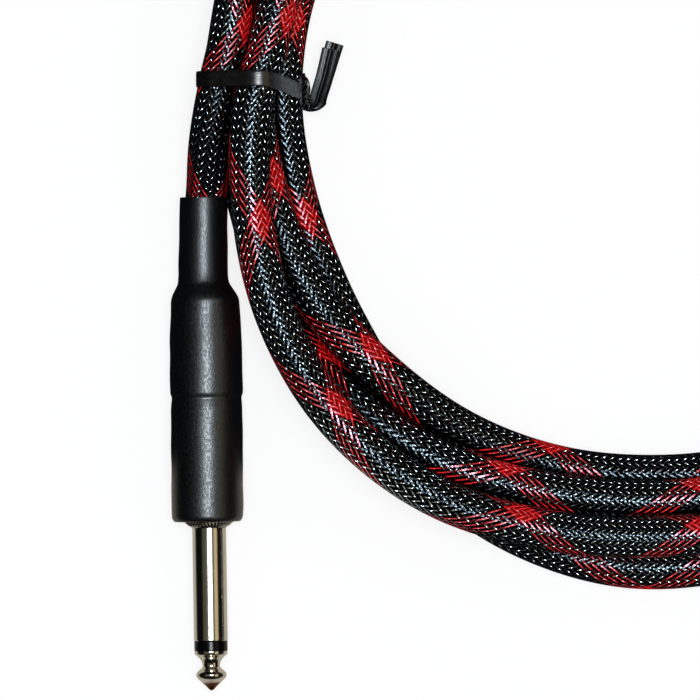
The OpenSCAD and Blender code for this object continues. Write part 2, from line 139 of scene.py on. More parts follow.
def lead(side, join):
    """From inside the boot's mouth up on to the coil.

    In the boot it follows the axis, and bears inwards with the square of the way to the mouth.
    From there a cubic Bezier curve runs to the coil. It climbs at once, to clear the turn that
    lies beneath it, which leaves a corner of about 15 degrees at the mouth.
    """
    axis = np.array([side * MOUTH_X, MOUTH_Y, AXIS_Z])
    back = np.array([side * math.sin(LEAN), math.cos(LEAN), 0.0])
    inwards = np.array([-side, 0.0, 0.0])
    mouth = axis + BEAR_IN * inwards
    away = back + INWARDS * inwards + np.array([0.0, 0.0, CLIMB])
    end, beyond = coil_at(join), coil_at(join + (1 if side < 0 else -1))
    onward = (beyond - end) / np.linalg.norm(beyond - end)
    curve = bezier(mouth, mouth + LEAVE * away, end - ARRIVE * onward, end, 40)
    inside = np.linspace(IN_BOOT, IN_BOOT / 10, 8)[:, None]
    bear = BEAR_IN * inwards * (1 - inside / IN_BOOT)**2
    return np.concatenate([axis - inside * back + bear, curve])


def even_points(line, step):
    """The same line with points a constant step apart, and the distance of each from its start."""
    run = np.concatenate([[0], np.cumsum(np.linalg.norm(np.diff(line, axis=0), axis=1))])
    count = int(round(run[-1] / step)) + 1
    at = np.linspace(0, run[-1], count)
    return np.stack([np.interp(at, run, line[:, k]) for k in range(3)], axis=1), at


JOIN = 1.5                 # degrees round the coil at which a lead meets it
RING_STEP = 1.5            # degrees, then millimetres, between the cable's points
LAST_ANGLE = 360.0 * TURNS + PLAN[LAST_ROW][0]
coil_angles = np.arange(JOIN + RING_STEP, LAST_ANGLE - JOIN, RING_STEP)
route_raw = np.concatenate([
    lead(-1, JOIN), coil_at(coil_angles), lead(1, LAST_ANGLE - JOIN)[::-1]
])
route, run_mm = even_points(route_raw, RING_STEP)


# ---------------------------------------------------------------- mesh helpers
def mesh_object(name, points, faces, uvs):
    """A smooth mesh from arrays of points in millimetres, quads and a UV pair per face corner."""
    mesh = bpy.data.meshes.new(name)
    faces = np.asarray(faces)
    mesh.vertices.add(len(points))
    mesh.vertices.foreach_set("co", (np.asarray(points, float) * MM).ravel())
    mesh.loops.add(faces.size)
    mesh.loops.foreach_set("vertex_index", faces.ravel())
    mesh.polygons.add(len(faces))
    mesh.polygons.foreach_set("loop_start", np.arange(len(faces)) * faces.shape[1])
    layer = mesh.uv_layers.new(name="run_and_turn")
    layer.data.foreach_set("uv", np.asarray(uvs, float).ravel())
    mesh.update(calc_edges=True)
    mesh.validate()
    mesh.polygons.foreach_set("use_smooth", np.full(len(mesh.polygons), True))
    piece = bpy.data.objects.new(name, mesh)
    scene.collection.objects.link(piece)
    return piece


def grid_faces(rows, cols, closed):
    """Quads of a grid of points, row after row; closed joins its last column to its first."""
    last = cols if closed else cols - 1
    i, j = np.meshgrid(np.arange(rows - 1), np.arange(last), indexing="ij")
    i, j = i.ravel(), j.ravel()
    k = (j + 1) % cols
    return np.stack([i * cols + j, i * cols + k, (i + 1) * cols + k, (i + 1) * cols + j], axis=1)


def grid_uvs(rows, cols, closed, along, around, creep=None):
    """UV pairs for grid_faces: along gives each row's first value, around each column's second.

    Creep is added to the second value of each row.
    """
    last = cols if closed else cols - 1
    i, j = np.meshgrid(np.arange(rows - 1), np.arange(last), indexing="ij")
    i, j = i.ravel(), j.ravel()
    creep = np.zeros(rows) if creep is None else creep
    u = np.stack([along[i], along[i], along[i + 1], along[i + 1]], axis=1)
    v = np.stack([around[j] + creep[i], around[j + 1] + creep[i],
                  around[j + 1] + creep[i + 1], around[j] + creep[i + 1]], axis=1)
    return np.stack([u, v], axis=-1).reshape(-1, 2)


def directions(line):
    """Unit tangent of a line at each point, from the points on both sides."""
    d = np.gradient(line, axis=0)
    return d / np.linalg.norm(d, axis=1, keepdims=True)


# ---------------------------------------------------------------- the cable
# The sleeve creeps a little as the cable is bent. Each row: distance along the cable in millimetres,
# turns that the tracers have made there, and the share of a turn that the sleeve is twisted by.
BRAID_CREEP = np.array([
    (5, 0.5, 0.13), (42, 1.5, 0.25), (399, 10.5, 0.18), (433.5, 11.5, 0.215), (475.5, 12.5, 0.195),
    (514.5, 13.5, 0.166), (553.5, 14.5, 0.234), (883.5, 23.5, 0.257), (921, 24.5, 0.257),
    (963, 25.5, 0.25), (1419, 37, 0.35), (1518, 39.5, 0.14), (1896, 49.5, 0.287),
    (1936.5, 50.5, 0.208), (1975.5, 51.5, 0.206), (2280, 59.5, 0.2),
])
CREEP_START = 0.2          # the rows' distances count from this far along the cable
CABLE_SIDES = 28
SAME_STRETCH = 15.0        # closer than this along the cable, points are neighbours by themselves
LOOK_OUT = 2.5             # how far outside the skin its openness is measured
OPEN_BY = 2.6              # clear width beyond the next turn at which the skin counts as open


# Painted shade: the braid's material dims its sheen, flecks and red glow where this openness is low.
def openness(points, outward):
    """How free each point of the skin is of the other turns: 0 in a valley between them, 1 in the open.

    It is the distance from a place just outside the skin to the nearest centre of another turn,
    less that turn's radius, as a share of a set width.
    """
    ask = points + outward * LOOK_OUT
    least = np.empty(points.shape[:2])
    for row in range(len(points)):
        others = route[np.abs(run_mm - run_mm[row]) > SAME_STRETCH]
        gaps = ask[row][:, None, :] - others[None, :, :]
        least[row] = np.sqrt((gaps * gaps).sum(axis=2).min(axis=1))
    return np.clip((least - CABLE_R) / OPEN_BY, 0.0, 1.0)


def make_cable():
    """A round tube swept along the route, its rings kept level so that nothing twists.

    A point is the centre line's, plus the radius times the cosine and sine of its angle along the
    ring's level and upright directions. UV: turns of the tracer along, turns round the cable.
    """
    d = directions(route)
    side = np.cross(d, [0, 0, 1.0])
    side /= np.linalg.norm(side, axis=1, keepdims=True)
    up = np.cross(side, d)
    around = np.arange(CABLE_SIDES + 1) / CABLE_SIDES
    angle = 2 * math.pi * around[:-1] - math.pi / 2
    outward = (np.cos(angle)[None, :, None] * side[:, None, :]
               + np.sin(angle)[None, :, None] * up[:, None, :])
    points = route[:, None, :] + CABLE_R * outward
    faces = grid_faces(len(route), CABLE_SIDES, True)
    turns, creep = (np.interp(run_mm - CREEP_START, BRAID_CREEP[:, 0], BRAID_CREEP[:, k])
                    for k in (1, 2))
    uvs = grid_uvs(len(route), CABLE_SIDES, True, turns, around, creep)
    made = mesh_object("braided_cable", points.reshape(-1, 3), faces, uvs)
    # The attribute open carries the openness, which the braid uses as painted shade in the valleys.
    free = made.data.attributes.new("open", "FLOAT", "POINT")
    free.data.foreach_set("value", openness(points, outward).ravel())
    return made


cable = make_cable()


# ---------------------------------------------------------------- turned pieces
def lathe(name, profile, sides=96, wobble=None, closed=True):
    """A profile of (radius, z) pairs turned about the z axis; wobble(z, angle) adds to the radius.

    UV: distance along the profile in millimetres, turns round it.
    """
    profile = np.asarray(profile, float)
    if closed:
        profile = np.concatenate([profile, profile[:1]])
    turn = np.arange(sides + 1) / sides
    a = 2 * math.pi * turn[:-1]
    r = np.repeat(profile[:, :1], sides, axis=1)
    z = np.repeat(profile[:, 1:], sides, axis=1)
    if wobble is not None:
        r = r + wobble(z, a[None, :])
    points = np.stack([r * np.cos(a), r * np.sin(a), z], axis=-1)
    along = np.concatenate([[0], np.cumsum(np.linalg.norm(np.diff(profile, axis=0), axis=1))])
    faces = grid_faces(len(profile), sides, True)
    uvs = grid_uvs(len(profile), sides, True, along, turn)
    return name, points.reshape(-1, 3), faces, uvs


def in_plug(points, side):
    """Points about a plug's own axis, z from mouth to tip, put where plug A (-1) or B (1) lies."""
    s, c = math.sin(-side * LEAN), math.cos(LEAN)
    x, y, z = points[:, 0], -points[:, 2], points[:, 1]
    return np.stack([side * MOUTH_X + c * x - s * y, MOUTH_Y + s * x + c * y, AXIS_Z + z], axis=1)


def plug_piece(side, made):
    """A turned piece put on one plug, with its doubles merged and its faces turned outwards."""
    name, points, faces, uvs = made
    letter = "a" if side < 0 else "b"
    piece = mesh_object("plug_%s_%s" % (letter, name), in_plug(points, side), faces, uvs)
    bm = bmesh.new()
    bm.from_mesh(piece.data)
    bmesh.ops.remove_doubles(bm, verts=bm.verts, dist=1e-6)
    bmesh.ops.recalc_face_normals(bm, faces=bm.faces)
    bm.to_mesh(piece.data)
    bm.free()
    piece.data.set_sharp_from_angle(angle=math.radians(38))
    return piece


def rounded(corners, radius, steps=5):
    """A line of (r, z) corners with each inner corner replaced by an arc-like curve."""
    corners = [np.asarray(c, float) for c in corners]
    out = [corners[0]]
    for before, corner, after in zip(corners[:-2], corners[1:-1], corners[2:]):
        back, on = before - corner, after - corner
        reach = min(radius, np.linalg.norm(back) / 2, np.linalg.norm(on) / 2)
        p = corner + back / np.linalg.norm(back) * reach
        q = corner + on / np.linalg.norm(on) * reach
        for s in np.linspace(0, 1, steps):
            out.append((1 - s)**2 * p + 2 * s * (1 - s) * corner + s**2 * q)
    out.append(corners[-1])
    return out


def resample(line, step):
    """More points on the long straight stretches of a profile, less than two steps apart."""
    out = [line[0]]
    for p, q in zip(line[:-1], line[1:]):
        n = max(1, int(np.linalg.norm(np.subtract(q, p)) / step))
        out += [np.asarray(p) + (np.asarray(q) - np.asarray(p)) * k / n for k in range(1, n + 1)]
    return out


# Places along a plug, from the boot's mouth, and radii
ROD_END, RIVET_Z, STUB_Z = 47.0, 47.8, 50.4    # the rod's end, its rivet, the rear of the stubs
SHELL_FRONT, SLEEVE_Z, RING_Z, TIP_Z = 60.4, 62.0, 83.2, 85.1
SLEEVE_R, SLEEVE_BORE = 3.175, 1.97
RING_R, ROD_R, ROD_HOLE = 3.13, 1.0, 1.06
WAIST_R = 1.62                                 # the tip's narrow neck
# How far aside of the plug's axis the boot lies, at places from its mouth
BOOT_LIE = np.array([(0, -0.05), (6, -0.20), (15.5, -0.40), (19, -0.07), (39, -0.10), (61, -0.28)])


def boot_wobble(z, a):
    """Slow unevenness of shrunk tubing: low waves along and around; the grip lies a little aside.

    Two waves are added, each a sine of the place times a cosine of two or three times the angle.
    """
    wave = (0.030 * np.sin(0.55 * z + 1.3) * np.cos(2 * a + 0.4)
            + 0.025 * np.sin(0.9 * z) * np.cos(3 * a))
    aside = np.interp(z, BOOT_LIE[:, 0], BOOT_LIE[:, 1]) * np.cos(a)
    return wave * np.clip((z - 1) / 4, 0, 1) + aside


def boot(side):
    """Shrunk tube: neck on the cable, shoulder, swelling grip with a shallow groove, rolled end."""
    outside = rounded([
        (4.12, 0.25), (4.32, 0.0), (4.47, 0.12), (4.52, 2.6), (4.64, 14.6), (4.82, 16.2),
        (6.04, 18.25), (6.42, 19.2), (6.50, 22.0), (6.80, 27.2), (6.82, 36.8), (6.52, 37.6),
        (6.60, 38.2), (6.73, 39.6), (6.74, 58.0), (6.66, 60.2), (6.20, 60.9), (5.62, 60.88),
    ], 0.6)
    inside = [(5.60, 60.45), (6.17, 59.8), (6.17, 19.0), (3.93, 16.5), (3.93, 0.6)]
    profile = resample(outside, 1.2) + inside
    return plug_piece(side, lathe("boot", profile, 96, boot_wobble))


RIDGES = 40
RIDGE_RISE = 0.19
CONE_START, RIDGE_SLANT = 12.39, 1.64  # the cone's start in the collar's UV, the ridges' slant


def collar_ridges(z, a):
    """Diagonal ridges round the cone, fading out towards its smooth front edge.

    A cosine of the angle, forty to the turn, whose phase moves on with the place along the plug.
    """
    rear = np.clip((z - SHELL_FRONT - 0.02) / 0.15, 0, 1)
    front = np.clip((SLEEVE_Z - 0.12 - z) / 0.25, 0, 1)
    return rear * front * RIDGE_RISE * np.cos(RIDGES * a + 2.4 * (z - SHELL_FRONT))


def collar(side):
    """Ridged cone between the shell and the sleeve, with its stub inside the shell."""
    wide, narrow, bore, stub = 4.95, 3.30, 2.83, 5.12
    cone = [(wide + (narrow - wide) * s**1.15, SHELL_FRONT + 1.55 * s) for s in np.linspace(0, 1, 14)]
    profile = ([(bore, STUB_Z), (stub, STUB_Z), (stub, 60.2), (wide, 60.3)] + cone
               + [(3.22, SLEEVE_Z), (bore, SLEEVE_Z)])
    return plug_piece(side, lathe("collar", profile, 240, collar_ridges))


def sleeve(side):
    """Plain sleeve contact with lightly broken edges."""
    stub = 2.75
    profile = [(SLEEVE_BORE, STUB_Z), (stub, STUB_Z), (stub, SLEEVE_Z), (3.10, SLEEVE_Z),
               (SLEEVE_R, 62.08), (SLEEVE_R, 62.2), (SLEEVE_R, 83.0), (SLEEVE_R, 83.1),
               (3.12, RING_Z), (SLEEVE_BORE, RING_Z)]
    return plug_piece(side, lathe("sleeve", profile, 96))


def tip_ring(side):
    """Insulating ring, a hair below the metal on both sides."""
    edge = 3.08
    profile = [(ROD_HOLE, RING_Z), (edge, RING_Z), (RING_R, 83.28), (RING_R, 83.4),
               (RING_R, 84.9), (RING_R, 85.02), (edge, TIP_Z), (ROD_HOLE, TIP_Z)]
    return plug_piece(side, lathe("tip_ring", profile, 96))


def tip(side):
    """Tip contact: flange, hollow neck, ball and cone; behind it the rod and its rivet."""
    neck = [(WAIST_R + (2.95 - WAIST_R) * (1 - s)**2.3, 85.85 + 2.2 * s) for s in np.linspace(0, 1, 12)]
    ball = [(WAIST_R + (2.87 - WAIST_R) * math.sin(math.pi / 2 * s)**1.15, 88.15 + 1.5 * s)
            for s in np.linspace(0.06, 1, 12)]
    nose = [(2.80, 89.98), (2.60, 90.27), (0.85, 91.93), (0.62, 92.2), (0.36, 92.45), (0.0, PLUG_LEN)]
    rod = [(0.0, ROD_END), (1.5, ROD_END), (1.7, 47.5), (1.7, RIVET_Z), (ROD_R, RIVET_Z), (ROD_R, TIP_Z)]
    flange = [(3.02, TIP_Z), (3.08, 85.16), (3.08, 85.68), (3.02, 85.78)]
    profile = rod + flange + neck + ball + rounded([ball[-1]] + nose, 0.3)[1:]
    return plug_piece(side, lathe("tip", profile, 96, closed=False))


# ---------------------------------------------------------------- the twist tie
TIE_Y = 2.6                # the strip's middle, from the coil's centre line
TIE_W, TIE_T = 3.0, 0.5
TIE_CLEAR = 0.12           # between the turns and the strip round them
TIE_LOW = 0.32             # the strip's middle above the floor
TIE_ANGLE = 1.8            # degrees round the coil


def bundle_ring(reach, count=200):
    """Outline, in x and z, of the turns at the tie: the tight loop round circles of that radius."""
    centres = np.array([coil_at(360.0 * t + TIE_ANGLE)[[0, 2]] for t in range(TURNS + 1)])
    a = np.linspace(0, 2 * math.pi, count, endpoint=False) + math.pi
    away = np.stack([np.cos(a), np.sin(a)], axis=1)
    best = np.argmax(centres @ away.T, axis=0)
    ring = centres[best] + reach * away
    ring[:, 1] = np.maximum(ring[:, 1], TIE_LOW)
    return ring


def ribbon(name, line, across, width, section, scale=None):
    """A strip swept along a line: section gives (share of width, height) pairs round the strip.

    Scale shrinks the whole section at each point of the line; 0 closes an end.
    """
    d = directions(line)
    across = across - np.sum(across * d, axis=1, keepdims=True) * d
    across /= np.linalg.norm(across, axis=1, keepdims=True)
    out = np.cross(across, d)
    section = np.asarray(section, float)
    scale = np.ones(len(line)) if scale is None else scale
    width = np.broadcast_to(np.asarray(width, float), (len(line),)) * scale
    points = (line[:, None, :] + (section[None, :, 0] * width[:, None])[..., None] * across[:, None, :]
              + (section[None, :, 1] * scale[:, None])[..., None] * out[:, None, :])
    rows, cols = points.shape[:2]
    run = np.concatenate([[0], np.cumsum(np.linalg.norm(np.diff(line, axis=0), axis=1))])
    faces = grid_faces(rows, cols, True)
    uvs = grid_uvs(rows, cols, True, run, np.append(section[:, 0], section[0, 0]) + 0.5)
    return name, points.reshape(-1, 3), faces, uvs


def through(points, count):
    """A smooth line of that many points through a few given ones."""
    points = np.asarray(points, float)
    knots = np.concatenate([[0], np.cumsum(np.linalg.norm(np.diff(points, axis=0), axis=1))])
    at = np.linspace(0, knots[-1], count)
    return np.stack([smooth_curve(knots, points[:, k], at) for k in range(points.shape[1])], axis=1)


def strip_section(thick, lines=(), sides=72):
    """Outline of a flat strip with rounded edges and a groove in both faces at each of the lines."""
    a = np.linspace(0, 2 * math.pi, sides, endpoint=False)
    x = 0.5 * np.sign(np.cos(a)) * np.abs(np.cos(a))**0.45
    y = thick / 2 * np.sign(np.sin(a)) * np.abs(np.sin(a))**0.6
    for line, depth in lines:
        y = y - np.sign(y) * depth * np.exp(-((x - line) / 0.055)**2)
    return np.stack([x, y], axis=1)


def end_scale(count, rows):
    """Full size everywhere but at the ends, where the last rows close the strip."""
    scale = np.ones(count)
    scale[0] = scale[-1] = 0.0
    for k in range(1, rows):
        scale[k] = scale[-1 - k] = 0.9
    return scale


SLANT_X, SLANT_OVER = -74.5, 8.5   # where the band starts to slant towards the knot, and for how long
SLANT_BY, SLANT_ABOVE = 2.6, 6.0   # how far it slants, and the height above which it does
TAIL_GROOVES = [(-0.2, 0.18), (0.12, 0.14), (0.36, 0.1)]   # places across a tail, and depths


def tie_band():
    """The band round the bundle: a strip along its outline, slanting where it nears the knot."""
    ring = bundle_ring(CABLE_R + TIE_CLEAR + TIE_T / 2)
    start = int(np.argmax(ring[:, 0] + 0.2 * ring[:, 1]))
    ring = np.roll(ring, -start, axis=0)
    ring = np.concatenate([ring, ring[:1]])
    run = np.concatenate([[0], np.cumsum(np.linalg.norm(np.diff(ring, axis=0), axis=1))])
    at = np.linspace(0, run[-1], 160)
    x, z = np.interp(at, run, ring[:, 0]), np.interp(at, run, ring[:, 1])
    slant = np.clip((x - SLANT_X) / SLANT_OVER, 0, 1)**1.3 * (z > SLANT_ABOVE)
    line = np.stack([x, COIL_Y + TIE_Y - SLANT_BY * slant, z], axis=1)
    across = np.tile([0.0, 1.0, 0.0], (len(line), 1))
    return [ribbon("band", line, across, TIE_W, strip_section(TIE_T))]


def tie_twist():
    """The two ends twisted together beside the bundle, a quarter turn apart."""
    count = 48
    twist = through([(-67.1, 68.3, 10.2), (-66.6, 66.8, 9.2), (-66.7, 64.6, 8.2), (-66.2, 62.9, 7.4)],
                    count)
    turn = np.linspace(0, 2.6 * math.pi, count)
    made = []
    for lag in (0.0, math.pi / 2):
        across = np.stack([np.cos(turn + lag), np.zeros(count), np.sin(turn + lag)], axis=1)
        made.append(ribbon("twist", twist, across, 2.0, strip_section(0.75), end_scale(count, 2)))
    return made


def tie_fold():
    """The bend at the foot of the knot, where the ends turn back up."""
    count = 30
    fold = through([(-67.0, 63.9, 7.0), (-65.6, 63.5, 7.2), (-64.2, 63.9, 7.4), (-63.5, 64.6, 7.6)], count)
    across = np.tile([0.1, 1.0, 0.35], (count, 1))
    return [ribbon("fold", fold, across, 2.5, strip_section(0.9), end_scale(count, 2))]


def tie_tails():
    """The two tails, lying one on the other, nearly flat at their ends and tilted at the fold."""
    count = 90
    share = np.linspace(0, 1, count)
    roll = np.radians(np.interp(share, [0, 0.12, 0.24, 1], [40, 35, 12, 7]))
    across = np.stack([np.cos(roll), 0 * roll, np.sin(roll)], axis=1)
    width = np.interp(share, [0, 0.16, 0.26, 1], [1.6, 2.6, 3.3, 3.4])
    section = strip_section(0.55, TAIL_GROOVES)
    made = []
    for lift, end in ((0.0, (-61.0, 75.1, 9.3)), (0.62, (-61.75, 73.9, 9.4))):
        line = through([(-66.6, 63.9, 7.0), (-65.5, 63.2, 7.1), (-64.45, 63.9, 7.5), (-64.0, 65.4, 8.0),
                        (-63.0, 68.6, 8.7), end], count)
        line[:, 2] += lift
        made.append(ribbon("tail", line, across, width, section, end_scale(count, 2)))
    return made


def join_parts(name, made):
    """Several swept parts as one mesh object."""
    points, faces, uvs, base = [], [], [], 0
    for _, p, f, u in made:
        points.append(p)
        faces.append(f + base)
        uvs.append(u)
        base += len(p)
    return mesh_object(name, np.concatenate(points), np.concatenate(faces), np.concatenate(uvs))


tie = join_parts("tie_strip", tie_band() + tie_twist() + tie_fold() + tie_tails())


# ---------------------------------------------------------------- materials
class Number:
    """A number that varies over a surface; arithmetic on it adds Math nodes to its material."""

    def __init__(self, board, socket):
        self.board, self.socket = board, socket

    def _do(self, operation, *others):
        return self.board.math(operation, self, *others)

    def __add__(self, other): return self._do("ADD", other)
    def __radd__(self, other): return self._do("ADD", other)
    def __sub__(self, other): return self._do("SUBTRACT", other)
    def __rsub__(self, other): return self.board.math("SUBTRACT", other, self)
    def __mul__(self, other): return self._do("MULTIPLY", other)
    def __rmul__(self, other): return self._do("MULTIPLY", other)
    def __truediv__(self, other): return self._do("DIVIDE", other)
    def __pow__(self, other): return self._do("POWER", other)
    def __gt__(self, other): return self._do("GREATER_THAN", other)
    def __lt__(self, other): return self._do("LESS_THAN", other)


class Board:
    """One material's node tree, with a Principled shader at its end."""

    def __init__(self, name, **constants):
        self.material = bpy.data.materials.new(name)
        self.material.use_nodes = True
        self.tree = self.material.node_tree
        self.tree.nodes.clear()
        self.shader = self.node("ShaderNodeBsdfPrincipled", {}, constants)
        self.output = self.node("ShaderNodeOutputMaterial", {}, {"Surface": self.shader.outputs[0]})

    def node(self, kind, settings=None, inputs=None):
        """Adds a node: its settings first, then a value or a link for each named socket."""
        made = self.tree.nodes.new(kind)
        for key, value in (settings or {}).items():
            if key == "stops":
                while len(made.color_ramp.elements) < len(value):
                    made.color_ramp.elements.new(0.5)
                for element, (place, colour) in zip(made.color_ramp.elements, value):
                    element.position, element.color = place, (*colour, 1)
            else:
                setattr(made, key, value)
        for key, value in (inputs or {}).items():
            self.put(made.inputs[key], value)
        return made

    def put(self, socket, value):
        """Sets a socket to a value, or links a number or another socket to it."""
        if isinstance(value, Number):
            value = value.socket
        if isinstance(value, bpy.types.NodeSocket):
            self.tree.links.new(value, socket)
        elif isinstance(value, (tuple, list)) and len(value) == 3 and socket.type == "RGBA":
            socket.default_value = (*value, 1)
        else:
            socket.default_value = value

    def math(self, operation, *values):
        """One Math node on those values."""
        made = self.node("ShaderNodeMath", {"operation": operation})
        for socket, value in zip(made.inputs, values):
            self.put(socket, value)
        return Number(self, made.outputs[0])

    def sin(self, x): return self.math("SINE", x)
    def floor(self, x): return self.math("FLOOR", x)
    def abs(self, x): return self.math("ABSOLUTE", x)
    def max(self, x, y): return self.math("MAXIMUM", x, y)
    def mod(self, x, y): return self.math("FLOORED_MODULO", x, y)

    def ramp(self, x, low, high, out_low=0.0, out_high=1.0):
        """x from low..high to out_low..out_high along a smooth step, held beyond both ends."""
        made = self.node("ShaderNodeMapRange", {"interpolation_type": "SMOOTHSTEP"}, {
            "Value": x, "From Min": low, "From Max": high, "To Min": out_low, "To Max": out_high})
        return Number(self, made.outputs[0])

    def mix(self, share, first, second):
        """Colour between first and second."""
        made = self.node("ShaderNodeMix", {"data_type": "RGBA"})
        self.put(made.inputs[0], share)
        self.put(made.inputs[6], first)
        self.put(made.inputs[7], second)
        return made.outputs[2]

    def uv(self):
        """The piece's own UV pair as two numbers."""
        apart = self.node("ShaderNodeSeparateXYZ", {}, {
            "Vector": self.node("ShaderNodeUVMap", {"uv_map": "run_and_turn"}).outputs[0]})
        return Number(self, apart.outputs[0]), Number(self, apart.outputs[1])

    def place(self):
        """Object coordinates as a vector socket."""
        return self.node("ShaderNodeTexCoord").outputs["Object"]

    def noise(self, scale, detail=3.0, roughness=0.5, vector=None):
        """Noise from 0 to 1, on object coordinates unless another vector is given."""
        made = self.node("ShaderNodeTexNoise", {}, {
            "Vector": vector or self.place(), "Scale": scale, "Detail": detail, "Roughness": roughness})
        return Number(self, made.outputs[0])

    def bump(self, height, distance):
        """Height, 0 to 1, as relief of that many metres."""
        made = self.node("ShaderNodeBump", {}, {"Strength": 1.0, "Distance": distance, "Height": height})
        self.put(self.shader.inputs["Normal"], made.outputs[0])
        return made.outputs[0]

    def set(self, **sockets):
        """Values or links for the Principled shader, with _ for the spaces in a socket's name."""
        for key, value in sockets.items():
            self.put(self.shader.inputs[key.replace("_", " ")], value)


CARRIERS = 24
TRACERS = 5
CARRIER_HALF = 0.22        # half a carrier's width, in carrier spacings
CRIMP, BACK = 0.50, 0.20   # rise of a carrier over a crossing, and its own roundness, in millimetres
GROUND = -0.4              # depth of the jacket between carriers
FILAMENTS = 3              # to a carrier


def braid_material(name):
    """Two families of narrow shiny carriers, each over two and under two of the other.

    Each family is a screw line of UV: turns round plus or minus turns along. A carrier's height is
    a sine wave of the crossings that it passes, plus its own round back; the higher family shows.
    What lies low, between and under the carriers, is painted shade: it turns to a shader that does not
    reflect, black, or dark red where both families are red. The red is painted darker in the grooves
    between filaments and towards each carrier's edges, and glows by emission, a painted light. Over the
    carriers lie a broad sheen, broken up by noise, and small bright flecks along their middles. These,
    and the red glow, fade in the valleys between turns, where the attribute open is low: painted shade.
    """
    b = Board(name, **{"IOR": 1.75, "Emission Strength": 1.0, "Specular IOR Level": 0.15,
                       "Specular Tint": (0.82, 0.92, 1.0)})
    along, around = b.uv()
    wander = b.noise(160.0, 1.0) * 0.36 - 0.18
    uneven, specks = b.noise(800.0, 2.0), b.noise(3400.0, 1.0)
    forward = (around + along) * CARRIERS + wander
    reverse = (around - along) * CARRIERS + wander * 0.7
    i, j = b.floor(forward), b.floor(reverse)
    quarter = math.pi / 2

    def carrier(line, index, wave):
        """Height of one family, far below the ground beside the carrier, its grooves and middle."""
        across = (line - index - 0.5) / CARRIER_HALF
        back = b.max(1.0 - across * across, 0.0)**0.5
        grooves = b.abs(b.sin(across * (FILAMENTS * math.pi / 2)))
        return wave * CRIMP + back * BACK - (b.abs(across) > 1.0), grooves, b.abs(across)

    high_f, grooves_f, off_f = carrier(forward, i, b.sin((i + reverse) * quarter))
    high_r, grooves_r, off_r = carrier(reverse, j, b.sin((forward + j) * quarter) * -1.0)
    forward_up = high_f > high_r
    height = b.max(b.max(high_f, high_r), GROUND) + uneven * 0.05
    grooves = forward_up * grooves_f + (1.0 - forward_up) * grooves_r
    off = forward_up * off_f + (1.0 - forward_up) * off_r
    red_f = b.mod(i, CARRIERS) < TRACERS - 0.5
    red_r = b.mod(j, CARRIERS) < TRACERS - 0.5
    in_gap = b.max(high_f, high_r) < GROUND
    both_red = red_f * red_r
    red = b.max((forward_up * red_f + (1.0 - forward_up) * red_r) * (1.0 - in_gap), both_red)
    # Painted shade: the attribute open dims the sheen, flecks and red glow in the valleys between turns.
    free = Number(b, b.node("ShaderNodeAttribute", {"attribute_name": "open"}).outputs["Fac"])
    net = (b.ramp(height, 0.0, 0.4) * b.ramp(off, 0.6, 1.0, 1.0, 0.1)
           * b.ramp(specks, 0.42, 0.58) * free)
    glint = (b.ramp(off, 0.50, 0.90, 1.0, 0.0) * b.ramp(height, 0.30, 0.46)
             * b.ramp(specks + uneven, 0.80, 1.00, 0.45, 1.0) * (1.0 - red * 0.65) * free)
    # Painted light: the red carriers glow by emission, weaker towards their edges and, as painted shade,
    # in the valleys.
    glow = red * b.ramp(off, 0.35, 0.7, 1.0, 0.10) * (free * 0.75 + 0.25)
    # Painted shade: the red is darker in the grooves between filaments and towards each carrier's edges.
    groove_shaded_red = b.mix(b.ramp(grooves, 0.0, 0.5), (0.55, 0.006, 0.008), (0.97, 0.020, 0.016))
    edge_shaded_red = b.mix(b.ramp(off, 0.30, 0.65), groove_shaded_red, (0.10, 0.001, 0.002))
    b.set(Base_Color=b.mix(red, (0.0010, 0.0011, 0.0014), edge_shaded_red),
          Roughness=b.ramp(grooves, 0.0, 0.4, 0.20, 0.10),
          Emission_Color=b.mix(glow, (0.0, 0.0, 0.0),
                               b.mix(both_red, (0.38, 0.006, 0.010), (0.95, 0.012, 0.012))))
    normal = b.bump(height, 0.001)
    spark = b.node("ShaderNodeBsdfPrincipled", {}, {
        "Metallic": 1.0, "Roughness": 0.11, "Normal": normal,
        "Base Color": b.mix(red, (0.78, 0.92, 1.0), (1.0, 0.50, 0.58))})
    # Painted shade: the lowest places take a shader that does not reflect, near black, or dark red where
    # both families are red.
    shaded_deep_red = b.mix(both_red, (0.15, 0.002, 0.004), (0.20, 0.003, 0.004))
    recess_shade = b.node("ShaderNodeBsdfPrincipled", {}, {
        "Specular IOR Level": 0.0, "Roughness": 1.0,
        "Base Color": b.mix(red, (0.0004, 0.0004, 0.0005), shaded_deep_red)})
    sheen = b.node("ShaderNodeBsdfPrincipled", {}, {
        "Metallic": 1.0, "Roughness": 0.34,
        "Base Color": b.mix(red, (0.50, 0.66, 0.78), (0.84, 0.54, 0.66))})
    satin = b.node("ShaderNodeMixShader", {}, {
        0: net * 0.70, 1: b.shader.outputs[0], 2: sheen.outputs[0]})
    top = b.node("ShaderNodeMixShader", {}, {0: glint, 1: satin.outputs[0], 2: spark.outputs[0]})
    # Painted shade by height: the lower the surface lies, the more it takes that shader instead of the lit
    # ones.
    painted_shade_mix = b.node("ShaderNodeMixShader", {}, {
        0: b.ramp(height, -0.05, 0.10, 0.0, 0.35) + b.ramp(height, 0.16, 0.34, 0.0, 0.65),
        1: recess_shade.outputs[0], 2: top.outputs[0]})
    b.put(b.output.inputs["Surface"], painted_shade_mix.outputs[0])
    return b.material


def plain(name, low, high, roughness, scale=900.0, relief=0.00003, metallic=0.0, **extra):
    """A finish whose colour, gloss and fine grain vary a little over the surface."""
    b = Board(name, Metallic=metallic, **extra)
    grain, cloud = b.noise(scale, 4.0), b.noise(scale * 0.12, 2.0)
    b.set(Base_Color=b.mix(cloud, low, high),
          Roughness=b.ramp(grain, 0.2, 0.8, roughness * 0.85, roughness * 1.15))
    b.bump(grain, relief)
    return b.material


